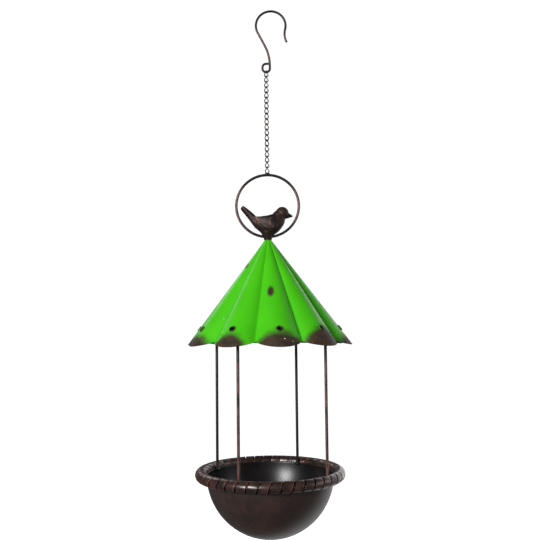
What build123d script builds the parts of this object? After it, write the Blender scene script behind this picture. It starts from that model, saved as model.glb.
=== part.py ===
from build123d import *
from math import cos, dist, pi, radians, sin, sqrt
import os

# A hanging bird feeder in millimetres, +Z up. The origin is the point inside the hook's bow that
# hangs on a branch or bracket, straight above the middle of the chain, the roof and the bowl.

# Hook, bent from one round wire in the XZ plane
hook_wire = 2.4
bow_radius = 15.6
bow_offset = 5.2
tip_radius = 19.2
tip_lean = 15.0
tip_flare = 25.0
shank_lean = 27.3
shank_radius = 45.8
eye_radius = 3.85
eye_drop = 3.5
eye_rise = 1.3
eye_closing_gap = 0.15

# Curb chain, every link twisted a quarter turn between its two ends
link_count = 18
link_wire = 1.1
link_sides = 8
link_end_radius = 1.85
link_pitch = 5.66
link_gap = 0.1
link_twist = 90.0
first_link_azimuth = 90.0
chain_turn = 35.0
arc_steps = 3
leg_steps = 4

# Hoop, with the last link welded on top of it
hoop_radius = 32.2
hoop_wire = 2.8
weld_seat_gap = 0.05
eye_weld_length = 8.0
eye_weld_width = 2.6
eye_weld_height = 1.2

# Bird, cast on a pedestal that the hoop runs through
bird_head_radius = 6.7
bird_head_place = (14.3, 24.0)
bird_beak_length = 8.4
bird_beak_radius = 3.4
bird_beak_place = (18.0, 22.9)
bird_beak_droop = 12.0
bird_tail_root = (-9.0, 14.6)
bird_tail_angle = 43.0
bird_tail_length = 24.6
bird_tail_root_size = (8.4, 7.6)
bird_tail_end_size = (4.8, 9.0)
bird_tail_rounding = 1.8
pedestal_drop = 3.6
pedestal_top_radius = 6.8
pedestal_foot_radius = 4.1
pedestal_rise = 2.5
pedestal_bore_clearance = 0.1
spigot_length = 5.0
spigot_clearance = 0.2

# Roof, pleated from sheet into rounded lobes
lobe_count = 10
first_crest_azimuth = -82.0
roof_height = 106.3
roof_crest_radius = 84.6
roof_lobe_radius = 25.0
roof_top_radius = 3.6
roof_sheet = 0.8
scallop_depth = 5.0
hole_diameter = 4.6
hole_lip_wall = 0.8
hole_lip_height = 1.0
hole_from_tip = 20.5

# Rods between the roof and the bowl
feeding_height = 128.3
rod_diameter = 3.0
rod_bend_radius = 9.0
rod_tail_length = 24.0
rod_seat_gap = 0.2
rod_rim_gap = 0.15
rod_azimuths = {
    "rod_front_left": -118.0,
    "rod_front_right": -28.0,
    "rod_back_right": 62.0,
    "rod_back_left": 152.0,
}
top_weld_radius = 2.2
foot_weld_radius = 2.5
foot_weld_inset = 1.2
foot_weld_drop = 0.4

# Rim, a ring with a flat strip wound round it, and the bowl inside it
rim_outer_radius = 75.0
rim_bead_radius = 5.45
rim_core_sides = 8
strip_width = 8.4
strip_thickness = 0.9
strip_clearance = 0.45
rim_turns = 43
strip_steps = 12
seam_azimuth = -38.0
seam_angle = -90.0
bowl_rim_gap = 0.3
bowl_depth = 63.3
bowl_wall = 1.0

# Places down the plumb line, from the hook to the bowl's rim
bow_centre_z = -sqrt((bow_radius - hook_wire / 2) ** 2 - bow_offset**2)
lean_sin = sin(radians(shank_lean))
lean_cos = cos(radians(shank_lean))
shank_side_step = eye_radius - bow_offset + bow_radius * lean_cos - shank_radius * (1 - lean_cos)
shank_straight = shank_side_step / lean_sin
shank_foot_z = bow_centre_z - (bow_radius + shank_radius) * lean_sin - shank_straight * lean_cos
eye_bottom_z = shank_foot_z - eye_drop - eye_radius
chain_top_z = eye_bottom_z + (hook_wire + link_wire) / 2 + link_gap
link_length = link_pitch + link_wire + link_gap
link_leg = link_length - 2 * link_end_radius
hoop_eye_top_z = chain_top_z - link_count * link_pitch
hoop_top_z = hoop_eye_top_z - link_length - (link_wire + hoop_wire) / 2 - weld_seat_gap
hoop_centre_z = hoop_top_z - hoop_radius
hoop_bottom_z = hoop_centre_z - hoop_radius
roof_top_z = hoop_bottom_z - pedestal_drop
roof_tip_z = roof_top_z - roof_height
rim_z = roof_tip_z - feeding_height

# Roof cone: radius lost per millimetre of height, along the crests and along the valleys
crest_slope = (roof_crest_radius - roof_top_radius) / roof_height
lobe_centre_radius = roof_crest_radius - roof_lobe_radius
half_lobe = 180 / lobe_count
lobe_side = lobe_centre_radius * sin(radians(half_lobe))
roof_valley_radius = lobe_centre_radius * cos(radians(half_lobe)) + sqrt(roof_lobe_radius**2 - lobe_side**2)
valley_slope = crest_slope * roof_valley_radius / roof_crest_radius
cone_apex_z = roof_top_z + roof_top_radius / crest_slope
crest_normal_length = sqrt(1 + crest_slope**2)
inner_apex_z = cone_apex_z - roof_sheet * crest_normal_length / crest_slope

# Rim and bowl radii, from the outside in
rim_major_radius = rim_outer_radius - rim_bead_radius
rim_inner_radius = rim_major_radius - rim_bead_radius
strip_radius = rim_bead_radius - strip_thickness / 2
rim_core_radius = rim_bead_radius - strip_thickness - strip_clearance
bowl_mouth_radius = rim_inner_radius - bowl_rim_gap
bowl_radius = (bowl_mouth_radius**2 + bowl_depth**2) / (2 * bowl_depth)
bowl_centre_z = rim_z - bowl_depth + bowl_radius
rod_circle = rim_inner_radius - rod_rim_gap - rod_diameter / 2


def finish(builder, name):
    """Label a finished piece and write it as a STEP file."""
    builder.part.label = name
    export_step(builder.part, f"parts/{name}.step")
    print(f"{name}: {len(builder.part.solids())} solids, {builder.part.volume:.1f} mm3")


def azimuth_direction(azimuth):
    """Level unit vector that points out at an azimuth in degrees."""
    return Vector(cos(radians(azimuth)), sin(radians(azimuth)), 0)


def radial_plane(azimuth):
    """Upright plane through the Z axis, with local x pointing out at the azimuth and local y up."""
    outward = azimuth_direction(azimuth)
    return Plane((0, 0, 0), x_dir=outward, z_dir=outward.cross(Vector(0, 0, 1)))


os.makedirs("parts", exist_ok=True)

# Hook: flared tip, bow, leaning shank and closed eye, all tangent
with BuildPart() as hook:
    with BuildLine(Plane.XZ) as hook_path:
        bow_start = (
            bow_offset + bow_radius * cos(radians(tip_lean)),
            bow_centre_z - bow_radius * sin(radians(tip_lean)),
        )
        bow_heading = (sin(radians(tip_lean)), cos(radians(tip_lean)))
        bow = JernArc(bow_start, bow_heading, bow_radius, 180 + tip_lean + shank_lean)
        tip = JernArc(bow @ 0, (bow % 0) * -1, tip_radius, tip_lean + tip_flare)
        shank = Line(bow @ 1, bow @ 1 + (bow % 1) * shank_straight)
        shank_bend = JernArc(shank @ 1, shank % 1, shank_radius, -shank_lean)
        eye_side = Line(shank_bend @ 1, shank_bend @ 1 - Vector(0, 0, eye_drop))
        eye_bottom = JernArc(eye_side @ 1, eye_side % 1, eye_radius, -180)
        eye_back = Line(eye_bottom @ 1, eye_bottom @ 1 + Vector(0, 0, eye_rise))
        eye_top = JernArc(eye_back @ 1, eye_back % 1, eye_radius, -90)
        eye_end_x = eye_radius - hook_wire / 2 - eye_closing_gap
        Line(eye_top @ 1, Vector(eye_end_x, 0, (eye_top @ 1).Z))
    hook_line = hook_path.wire()
    with BuildSketch(Plane(hook_line @ 0, z_dir=hook_line % 0)):
        Circle(hook_wire / 2)
    sweep(path=hook_line)
    with Locations(tip @ 1):
        Sphere(hook_wire / 2)
finish(hook, "hook")


def link_stations():
    """Planes across one half of a link, from the middle of its top end to the middle of its bottom end."""
    steps = []
    for i in range(arc_steps):
        steps.append((90 - 90 * i / arc_steps, 0.0))
    for i in range(leg_steps + 1):
        steps.append((0.0, i / leg_steps))
    for i in range(1, arc_steps + 1):
        steps.append((-90 * i / arc_steps, 1.0))
    planes = []
    for arc_angle, leg_share in steps:
        eased_share = leg_share**2 * (3 - 2 * leg_share)
        twist_rate = 6 * leg_share * (1 - leg_share) * radians(link_twist) / link_leg
        outward = azimuth_direction(-link_twist * eased_share)
        sideways = azimuth_direction(-link_twist * eased_share - 90)
        across = cos(radians(arc_angle))
        along = sin(radians(arc_angle))
        drop = link_end_radius * (1 - along) + link_leg * leg_share
        centre = outward * (link_end_radius * across) - Vector(0, 0, drop)
        heading = outward * along - Vector(0, 0, across) + sideways * (link_end_radius * twist_rate)
        normal = outward * across + Vector(0, 0, along)
        planes.append(Plane(centre, x_dir=normal, z_dir=heading))
    return planes


# One chain link, hanging from the middle of its top end at the origin
with BuildPart() as half_link:
    for station in link_stations():
        with BuildSketch(station):
            RegularPolygon(link_wire / 2, link_sides)
    loft(ruled=True)
with BuildPart() as link:
    with PolarLocations(0, 2):
        add(half_link.part)


def hang_link(name, place):
    """Copy the link to its place in the chain, turned a little further than the link above it."""
    azimuth = first_link_azimuth - chain_turn * sin(pi * place / link_count)
    with BuildPart() as hung_link:
        with Locations(Location((0, 0, chain_top_z - place * link_pitch), (0, 0, azimuth))):
            add(link.part)
    finish(hung_link, name)
    return hung_link


for place in range(link_count):
    hang_link(f"link_{place + 1:02d}", place)
hoop_eye = hang_link("hoop_eye", link_count)

# Hoop: a ring that stands in the XZ plane
hoop_axis = Axis((0, 0, hoop_centre_z), (0, 1, 0))
hoop_section_plane = Plane.XY.offset(hoop_centre_z)
with BuildPart() as hoop:
    with BuildSketch(hoop_section_plane):
        with Locations((hoop_radius, 0)):
            Circle(hoop_wire / 2)
    revolve(axis=hoop_axis)
finish(hoop, "hoop")

# Roof: a lobed cone, hollowed by the same cone set lower, then trimmed to a scalloped edge
def lobed_outline(crest_radius):
    """Closed outline of rounded lobes that meet in sharp valleys."""
    scale = crest_radius / roof_crest_radius
    valley_radius = roof_valley_radius * scale
    with BuildSketch() as outline:
        with BuildLine():
            for lobe in range(lobe_count):
                crest_azimuth = first_crest_azimuth + 2 * half_lobe * lobe
                ThreePointArc(
                    azimuth_direction(crest_azimuth - half_lobe) * valley_radius,
                    azimuth_direction(crest_azimuth) * crest_radius,
                    azimuth_direction(crest_azimuth + half_lobe) * valley_radius,
                )
        make_face()
    return outline.sketch


crest_normal = (1 / crest_normal_length, crest_slope / crest_normal_length)
crest_edge_length = roof_height * crest_normal_length
hole_share = hole_from_tip / crest_edge_length
hole_radius_place = roof_crest_radius - hole_share * (roof_crest_radius - roof_top_radius)
hole_z = roof_tip_z + hole_share * roof_height
hole_reach = hole_lip_height + roof_sheet
trim_rise = roof_crest_radius * scallop_depth / (roof_crest_radius - roof_valley_radius)

with BuildPart() as roof:
    with BuildSketch(Plane.XY.offset(roof_tip_z)):
        add(lobed_outline(roof_crest_radius))
    with BuildSketch(Plane.XY.offset(roof_top_z)):
        add(lobed_outline(roof_top_radius))
    loft(ruled=True)
    with BuildSketch(Plane.XY.offset(roof_tip_z)):
        add(lobed_outline((inner_apex_z - roof_tip_z) * crest_slope))
    with BuildSketch(Plane.XY.offset(roof_top_z)):
        add(lobed_outline((inner_apex_z - roof_top_z) * crest_slope))
    loft(ruled=True, mode=Mode.SUBTRACT)
    with BuildSketch(Plane.XZ):
        with BuildLine():
            Polyline(
                (0, roof_tip_z),
                (roof_crest_radius, roof_tip_z),
                (0, roof_tip_z + trim_rise),
                close=True,
            )
        make_face()
    revolve(axis=Axis.Z, mode=Mode.SUBTRACT)
    hole_planes = []
    for lobe in range(lobe_count):
        outward = azimuth_direction(first_crest_azimuth + 2 * half_lobe * lobe)
        centre = outward * hole_radius_place + Vector(0, 0, hole_z)
        normal = outward * crest_normal[0] + Vector(0, 0, crest_normal[1])
        hole_planes.append(Plane(centre, x_dir=outward.cross(Vector(0, 0, 1)), z_dir=normal))
    for hole_plane in hole_planes:
        with BuildSketch(hole_plane.offset(hole_lip_height)):
            Circle(hole_diameter / 2 + hole_lip_wall)
        extrude(amount=-hole_lip_height - roof_sheet / 2)
    for hole_plane in hole_planes:
        with BuildSketch(hole_plane.offset(hole_reach)):
            Circle(hole_diameter / 2)
        extrude(amount=-2 * hole_reach, mode=Mode.SUBTRACT)
finish(roof, "roof")

# Bird: body, head, beak and tail over a pedestal, bored for the hoop, with a spigot into the roof
bird_stations = (
    (-15.5, 17.0, 3.2, 2.8),
    (-10.0, 14.0, 7.2, 6.2),
    (-3.0, 11.8, 10.1, 8.6),
    (4.0, 12.2, 11.0, 9.0),
    (10.0, 15.2, 10.8, 8.2),
    (14.5, 18.4, 8.5, 6.4),
    (17.2, 18.6, 4.4, 3.6),
)
spigot_radius = (inner_apex_z - roof_top_z) * valley_slope - spigot_clearance

with BuildPart() as bird:
    for along, height, half_height, half_width in bird_stations:
        with BuildSketch(Plane((along, 0, hoop_bottom_z + height), x_dir=(0, 1, 0), z_dir=(1, 0, 0))):
            Ellipse(half_width, half_height)
    loft()
    with Locations((bird_head_place[0], 0, hoop_bottom_z + bird_head_place[1])):
        Sphere(bird_head_radius)
    beak_heading = Vector(cos(radians(bird_beak_droop)), 0, -sin(radians(bird_beak_droop)))
    beak_base = Vector(bird_beak_place[0], 0, hoop_bottom_z + bird_beak_place[1])
    with BuildSketch(Plane(beak_base, x_dir=(0, 1, 0), z_dir=beak_heading)):
        Circle(bird_beak_radius)
    with BuildSketch(Plane(beak_base + beak_heading * bird_beak_length, x_dir=(0, 1, 0), z_dir=beak_heading)):
        Circle(bird_beak_radius / 8)
    loft(ruled=True)
    tail_heading = Vector(-cos(radians(bird_tail_angle)), 0, sin(radians(bird_tail_angle)))
    tail_base = Vector(bird_tail_root[0], 0, hoop_bottom_z + bird_tail_root[1])
    for share, (thickness, width) in ((0, bird_tail_root_size), (1, bird_tail_end_size)):
        tail_place = tail_base + tail_heading * (bird_tail_length * share)
        with BuildSketch(Plane(tail_place, x_dir=(0, 1, 0), z_dir=tail_heading)):
            RectangleRounded(width, thickness, bird_tail_rounding)
    loft()
    with BuildSketch(Plane.XY.offset(roof_top_z)):
        Circle(pedestal_foot_radius)
    with BuildSketch(Plane.XY.offset(hoop_bottom_z + pedestal_rise)):
        Circle(pedestal_top_radius)
    loft(ruled=True)
    with BuildSketch(Plane.XY.offset(roof_top_z)):
        Circle(spigot_radius)
    extrude(amount=-spigot_length)
    with BuildSketch(hoop_section_plane):
        with Locations((hoop_radius, 0)):
            Circle(hoop_wire / 2 + pedestal_bore_clearance)
    revolve(axis=hoop_axis, mode=Mode.SUBTRACT)
finish(bird, "bird")

# Rods: upright, then bent inwards to lie along the inside of the roof
def build_rod(name, azimuth):
    """One rod, under a crest or a valley of the roof, whichever is at its azimuth."""
    lobes_away = (azimuth - first_crest_azimuth) / (2 * half_lobe)
    slope = crest_slope if abs(lobes_away - round(lobes_away)) < 0.25 else valley_slope
    slope_length = sqrt(1 + slope**2)
    seat = rod_diameter / 2 + rod_seat_gap
    knee_z = inner_apex_z - (rod_circle + seat * slope_length) / slope
    tail_rise = rod_tail_length / slope_length
    tail_end = (rod_circle - tail_rise * slope, knee_z + tail_rise)
    with BuildPart() as rod:
        with BuildLine(radial_plane(azimuth)) as rod_path:
            FilletPolyline((rod_circle, rim_z), (rod_circle, knee_z), tail_end, radius=rod_bend_radius)
        foot = azimuth_direction(azimuth) * rod_circle + Vector(0, 0, rim_z)
        with BuildSketch(Plane(foot, z_dir=(0, 0, 1))):
            Circle(rod_diameter / 2)
        sweep(path=rod_path.wire())
    finish(rod, name)
    top = azimuth_direction(azimuth) * tail_end[0] + Vector(0, 0, tail_end[1])
    return rod, top


rods = {}
rod_tops = {}
for rod_name, rod_azimuth in rod_azimuths.items():
    rods[rod_name], rod_tops[rod_name] = build_rod(rod_name, rod_azimuth)

# Bowl: part of a hollow sphere, its edge flat at the middle of the rim
with BuildPart() as bowl:
    with BuildSketch(Plane.XZ):
        with Locations((0, bowl_centre_z)):
            Circle(bowl_radius)
            Circle(bowl_radius - bowl_wall, mode=Mode.SUBTRACT)
        with Locations((0, rim_z)):
            Rectangle(2 * bowl_radius, 2 * bowl_radius, align=(Align.MIN, Align.MAX), mode=Mode.INTERSECT)
    revolve(axis=Axis.Z)
finish(bowl, "bowl")

# Rim core: plain ring under the wound strip
with BuildPart() as rim_core:
    with BuildSketch(Plane.XZ):
        with Locations((rim_major_radius, rim_z)):
            RegularPolygon(rim_core_radius, rim_core_sides)
    revolve(axis=Axis.Z)
finish(rim_core, "rim_core")


def strip_station(turn_angle):
    """Plane across the wound strip: local x over its width, local y away from the ring."""
    azimuth = seam_azimuth + (turn_angle - seam_angle) / rim_turns
    outward = azimuth_direction(azimuth)
    onward = azimuth_direction(azimuth + 90)
    lift = outward * cos(radians(turn_angle)) + Vector(0, 0, sin(radians(turn_angle)))
    wind = outward * -sin(radians(turn_angle)) + Vector(0, 0, cos(radians(turn_angle)))
    reach = rim_major_radius + strip_radius * cos(radians(turn_angle))
    centre = outward * rim_major_radius + lift * strip_radius + Vector(0, 0, rim_z)
    heading = wind * strip_radius + onward * (reach / rim_turns)
    return Plane(centre, x_dir=lift.cross(heading) * -1, z_dir=heading)


# Rim wrap: one unbroken strip, wound in a helix round the ring
strip_places = [seam_angle + 360 * i / strip_steps for i in range(rim_turns * strip_steps)]
with BuildPart() as rim_wrap:
    for strip_place in strip_places:
        with BuildSketch(strip_station(strip_place)):
            Rectangle(strip_width, strip_thickness)
    loft(ruled=True, clean=False)
finish(rim_wrap, "rim_wrap")


def strip_edges(turn_angle):
    """The four corners of the strip's section."""
    plane = strip_station(turn_angle)
    half_width, half_thickness = strip_width / 2, strip_thickness / 2
    signs = ((-1, -1), (-1, 1), (1, -1), (1, 1))
    return [tuple(plane.from_local_coords((a * half_width, b * half_thickness, 0))) for a, b in signs]


# Least gap between one turn of the strip and the next, measured corner to corner
turn_gaps = []
for strip_place in range(0, 360, 10):
    near_corners = strip_edges(strip_place)
    for offset in range(300, 425, 5):
        for far_corner in strip_edges(strip_place + offset):
            turn_gaps.extend(dist(near_corner, far_corner) for near_corner in near_corners)
print(f"rim wrap: least gap to itself {min(turn_gaps):.2f} mm")

# Weld beads: at each rod's foot and upper end, and under the hoop eye, cut to what they join
with BuildPart() as weld_beads:
    for rod_name, rod_azimuth in rod_azimuths.items():
        weld_place = azimuth_direction(rod_azimuth) * (rod_circle - foot_weld_inset)
        with Locations(weld_place + Vector(0, 0, rim_z - foot_weld_drop)):
            Sphere(foot_weld_radius)
        with Locations(rod_tops[rod_name]):
            Sphere(top_weld_radius)
    hoop_crown_z = hoop_top_z + hoop_wire / 2
    with BuildSketch(Plane.XY.offset(hoop_crown_z - eye_weld_height / 2)):
        Ellipse(eye_weld_length / 2, eye_weld_width / 2)
    with BuildSketch(Plane.XY.offset(hoop_crown_z + eye_weld_height)):
        Ellipse(link_end_radius, link_wire / 2)
    loft(ruled=True)
    for rod in rods.values():
        add(rod.part, mode=Mode.SUBTRACT)
    add(bowl.part, mode=Mode.SUBTRACT)
    add(roof.part, mode=Mode.SUBTRACT)
    add(hoop.part, mode=Mode.SUBTRACT)
    add(hoop_eye.part, mode=Mode.SUBTRACT)
finish(weld_beads, "weld_beads")
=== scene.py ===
# %% [markdown]
# # Hanging bird feeder
# A wire hook, a curb chain, a hoop with a cast bird, a pleated tin roof, four rods and a bowl with a
# strip-wound rim. The CAD part is the frame: it fixes where everything is. Here each piece is modelled
# again with the small forms that catch the light, in metres, and then gets its finish.

# %% Load the frame
from math import atan2, copysign, cos, degrees, pi, radians, sin, sqrt, tan, tau

import bpy
from mathutils import Matrix, Vector


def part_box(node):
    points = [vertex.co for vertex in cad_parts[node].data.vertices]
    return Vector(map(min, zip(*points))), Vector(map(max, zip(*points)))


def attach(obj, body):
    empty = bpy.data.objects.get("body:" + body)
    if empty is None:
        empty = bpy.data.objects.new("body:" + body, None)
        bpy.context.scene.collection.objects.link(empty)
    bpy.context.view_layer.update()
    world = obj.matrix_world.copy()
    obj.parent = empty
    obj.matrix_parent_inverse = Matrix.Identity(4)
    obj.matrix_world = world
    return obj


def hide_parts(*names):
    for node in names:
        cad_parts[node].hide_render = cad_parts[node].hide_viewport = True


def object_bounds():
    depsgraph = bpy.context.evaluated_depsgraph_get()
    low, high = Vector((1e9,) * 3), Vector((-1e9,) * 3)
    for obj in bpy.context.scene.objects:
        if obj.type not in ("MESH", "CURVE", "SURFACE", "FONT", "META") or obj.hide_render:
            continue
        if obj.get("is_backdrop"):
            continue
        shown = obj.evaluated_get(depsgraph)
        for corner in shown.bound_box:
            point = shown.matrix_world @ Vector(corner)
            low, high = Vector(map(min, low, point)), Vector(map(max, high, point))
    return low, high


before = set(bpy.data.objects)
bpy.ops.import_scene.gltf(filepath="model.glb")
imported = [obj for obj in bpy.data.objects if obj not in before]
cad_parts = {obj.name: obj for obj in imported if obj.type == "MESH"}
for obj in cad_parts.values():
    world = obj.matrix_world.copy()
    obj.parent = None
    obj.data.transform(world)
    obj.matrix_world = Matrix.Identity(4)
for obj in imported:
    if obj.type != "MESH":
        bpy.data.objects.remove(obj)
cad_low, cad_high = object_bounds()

MM = 0.001


def in_mm(lengths, digits=1):
    """Lengths in millimetres, rounded for printing."""
    return [round(length / MM, digits) for length in lengths]


print("CAD box in mm:", in_mm(cad_high - cad_low))

# %% [markdown]
# ## Camera
# The photo was taken from about the height of the roof's edge, looking slightly up, three quarters of a
# metre away. The camera could be placed by eye. Here its place and lens were fitted to the outlines of the
# rim, the roof and the hoop, so that the picture can be laid over the photo.

# %% Camera
bowl_low, bowl_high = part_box("bowl")
rim_z = bowl_high.z
camera_place = Vector((1.8 * MM, -756.9 * MM, rim_z + 146.3 * MM))
camera_pitch, camera_roll = 0.0763, -0.0104

bpy.ops.object.camera_add()
camera = bpy.context.object
camera.name = "camera"
camera.matrix_world = (
    Matrix.Translation(camera_place)
    @ Matrix.Rotation(pi / 2 + camera_pitch, 4, "X")
    @ Matrix.Rotation(camera_roll, 4, "Z")
)
camera.data.sensor_width = 36.0
camera.data.lens = 49.43
camera.data.clip_start = 0.01
camera.data.dof.use_dof = False
scene = bpy.context.scene
scene.camera = camera
scene.view_settings.view_transform = "Standard"
print("camera at mm:", in_mm(camera_place))

# %% [markdown]
# ## Helpers for shaping
# Each piece starts as a primitive and is drawn out, bent, cut or thickened in edit mode, as by hand. The
# same few steps come back for every piece, so they are written once: pick a piece, edit it, apply a
# modifier, and settle it on its body at the end.

# %% Picking and editing
UP = Vector((0, 0, 1))


def select_none():
    """Deselect everything, so that the next operator acts on its own object alone."""
    bpy.ops.object.select_all(action="DESELECT")


def select_only(piece):
    """Make one object the only selected one, and the active one."""
    select_none()
    piece.select_set(True)
    bpy.context.view_layer.objects.active = piece


def named(name):
    """Name the object that an operator has just added, and put its place into its mesh."""
    piece = bpy.context.object
    piece.name = piece.data.name = name
    bpy.ops.object.transform_apply(location=True, rotation=True, scale=True)
    return piece


def copy_of(piece):
    """A copy of a piece, with a mesh of its own."""
    select_only(piece)
    bpy.ops.object.duplicate()
    return bpy.context.object


def edit(piece):
    """Open a piece in edit mode with everything selected."""
    select_only(piece)
    bpy.ops.object.mode_set(mode="EDIT")
    bpy.ops.mesh.select_mode(type="VERT")
    bpy.ops.mesh.select_all(action="SELECT")


def leave_edit():
    """Go back to object mode."""
    bpy.ops.object.mode_set(mode="OBJECT")


def pick(piece, chosen):
    """In edit mode, select the vertices that pass a test, and what lies between them."""
    leave_edit()
    vertices = piece.data.vertices
    for vertex in vertices:
        vertex.select = chosen(vertex)
    for part in (*piece.data.edges, *piece.data.polygons):
        part.select = all(vertices[i].select for i in part.vertices)
    bpy.ops.object.mode_set(mode="EDIT")


# %% Shaping and settling
merge_distance = 0.004 * MM


def extrude(move):
    """In edit mode, draw what is selected out by a move."""
    bpy.ops.mesh.extrude_region_move(TRANSFORM_OT_translate={"value": move})


def modify(piece, kind, **settings):
    """Add a modifier with these settings and apply it."""
    select_only(piece)
    modifier = piece.modifiers.new(kind.lower(), kind)
    for key, value in settings.items():
        setattr(modifier, key, value)
    bpy.ops.object.modifier_apply(modifier=modifier.name)


def tidy(piece):
    """Merge vertices that lie on each other and turn every face outward."""
    edit(piece)
    bpy.ops.mesh.remove_doubles(threshold=merge_distance)
    bpy.ops.mesh.normals_make_consistent(inside=False)
    leave_edit()


def join(pieces, name):
    """Make several objects one piece."""
    select_only(pieces[0])
    for piece in pieces:
        piece.select_set(True)
    bpy.ops.object.join()
    return named(name)


def reach(piece):
    """A piece's lowest and highest corner."""
    places = [vertex.co for vertex in piece.data.vertices]
    return [Vector([end(place[i] for place in places) for i in range(3)]) for end in (min, max)]


def settle(piece, body, nodes, crease=40.0):
    """Smooth a finished piece, fasten it to its body and let it stand for its CAD nodes."""
    select_only(piece)
    bpy.ops.object.shade_smooth_by_angle(angle=radians(crease))
    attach(piece, body)
    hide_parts(*nodes)
    gaps = [corner - cad for corner, cad in zip(reach(piece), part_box(nodes[0]))]
    print(piece.name, "size mm", in_mm(piece.dimensions), "faces", len(piece.data.polygons))
    print("  corners against CAD, mm:", *[in_mm(gap, 2) for gap in gaps])
    return piece


# %% [markdown]
# ## Round wire
# Hook, links, hoop and rods are cold-bent round wire. A curve with a round bevel could stand for it. Here a
# ring of vertices is the wire's cut end: extruding it draws a straight length, and spinning it about the
# centre of a bend makes the bend, just as the wire runs round the pins of a jig. So every bend has its true
# radius, and the ends can be rounded or cut.

# %% A wire that is drawn and bent
dome_end, cut_end = 0.03, 0.8  # how wide a domed end and a softened cut stay, as shares of the wire


class Wire:
    """A round wire, drawn out of its end ring."""

    def __init__(self, name, place, heading, diameter, sides=20):
        self.place, self.heading = Vector(place), Vector(heading).normalized()
        self.first_place, self.first_heading = self.place.copy(), -self.heading
        select_none()
        turn = UP.rotation_difference(self.heading).to_euler()
        bpy.ops.mesh.primitive_circle_add(
            vertices=sides, radius=diameter / 2, location=self.place, rotation=turn
        )
        self.piece = named(name)
        edit(self.piece)

    def push(self, move):
        """Draw the end ring out by a move."""
        extrude(move)
        self.place += move

    def draw(self, length, steps=1):
        """A straight length."""
        for _ in range(steps):
            self.push(self.heading * (length / steps))

    def bend(self, axis, radius, angle, step=6.0):
        """A bend of an angle in degrees, right-handed about the axis."""
        axis = Vector(axis).normalized()
        centre = self.place + axis.cross(self.heading) * copysign(radius, angle)
        steps = max(2, round(abs(angle) / step))
        bpy.ops.mesh.spin(steps=steps, angle=-radians(angle), center=centre, axis=axis)
        turn = Matrix.Rotation(radians(angle), 3, axis)
        self.place = centre + turn @ (self.place - centre)
        self.heading = turn @ self.heading

    def round_end(self, length, least=dome_end, steps=5):
        """Draw the end in to a dome, or to a softened cut when it stops early."""
        angles = [pi / 2 * k / steps for k in range(steps + 1)]
        for before, after in zip(angles, angles[1:]):
            self.push(self.heading * (length * (sin(after) - sin(before))))
            widths = [least + (1 - least) * cos(a) for a in (before, after)]
            shrink = widths[1] / widths[0]
            bpy.ops.transform.resize(value=(shrink, shrink, shrink), center_override=self.place)
        bpy.ops.mesh.edge_face_add()

    def pick_first_end(self):
        """Select the ring where the wire began, the only one that is still open."""
        bpy.ops.mesh.select_all(action="DESELECT")
        bpy.ops.mesh.select_non_manifold()

    def round_first_end(self, length):
        """Draw the end where the wire began in to a dome."""
        self.place, self.heading = self.first_place, self.first_heading
        self.pick_first_end()
        self.round_end(length)

    def close_first_end(self):
        """Close the end where the wire began with a flat cut."""
        self.pick_first_end()
        bpy.ops.mesh.edge_face_add()

    def done(self):
        """Close the mesh and hand over the piece."""
        leave_edit()
        tidy(self.piece)
        return self.piece


# %% [markdown]
# ## Hook
# One wire: a flared tip with a rounded end, the bow that goes over a branch, a leaning shank and a closed
# eye. The wire is drawn from the tip to the eye, bend by bend, because each bend then starts just where the
# last one ends. The bow's crown sits so that the chain hangs straight below the branch.

# %% Hook
hook_top_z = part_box("hook")[1].z
hook_wire = 2.4 * MM
bow_radius, bow_offset = 15.6 * MM, 5.2 * MM
bow_centre = Vector((bow_offset, 0, hook_top_z - hook_wire / 2 - bow_radius))
tip_radius, shank_radius = 19.2 * MM, 45.8 * MM
tip_lean, tip_flare, shank_lean = 15.0, 25.0, 27.3
eye_radius, eye_drop, eye_rise = 3.85 * MM, 3.5 * MM, 1.3 * MM
eye_gap, hook_cut = 0.15 * MM, 0.2 * MM
towards_camera = Vector((0, -1, 0))

lean = radians(tip_lean)
bow_start = bow_centre + Vector((cos(lean), 0, -sin(lean))) * bow_radius
bow_heading = Vector((sin(lean), 0, cos(lean)))
tip_centre = bow_start + towards_camera.cross(-bow_heading) * tip_radius
tip_turn = Matrix.Rotation(radians(tip_lean + tip_flare), 3, towards_camera)
tip_place = tip_centre + tip_turn @ (bow_start - tip_centre)

hook_line = Wire("hook_visual", tip_place, tip_turn @ bow_heading, hook_wire, sides=24)
hook_line.bend(towards_camera, tip_radius, -(tip_lean + tip_flare))
hook_line.bend(towards_camera, bow_radius, 180 + tip_lean + shank_lean)
shank_turn_x = eye_radius - shank_radius * (1 - cos(radians(shank_lean)))
hook_line.draw((shank_turn_x - hook_line.place.x) / hook_line.heading.x, steps=6)
hook_line.bend(towards_camera, shank_radius, -shank_lean)
hook_line.draw(eye_drop)
hook_line.bend(towards_camera, eye_radius, -180)
hook_line.draw(eye_rise)
hook_line.bend(towards_camera, eye_radius, -90)
hook_line.draw(eye_radius - hook_wire / 2 - eye_gap - hook_cut - hook_line.place.x)
hook_line.round_end(hook_cut, cut_end, steps=3)
hook_line.round_first_end(hook_wire / 2)
hook = settle(hook_line.done(), "hook", ["hook"])

# %% [markdown]
# ## Curb chain
# Each link is bent flat from thin wire, its two ends butted together half way down one leg, and then
# twisted a quarter turn so that its ends stand across each other. A real link is twisted with pliers, so
# the twist is a modifier held to the straight legs. Every link has its own mesh and turns with its body.

# %% One link, bent flat and twisted
link_wire, link_end_radius, link_pitch = 1.1 * MM, 1.85 * MM, 5.66 * MM
link_play, butt_gap, link_cut = 0.1 * MM, 0.06 * MM, 0.1 * MM
link_length = link_pitch + link_wire + link_play
link_leg = link_length - 2 * link_end_radius
link_axis, link_step = (0, 1, 0), 11.25

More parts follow.
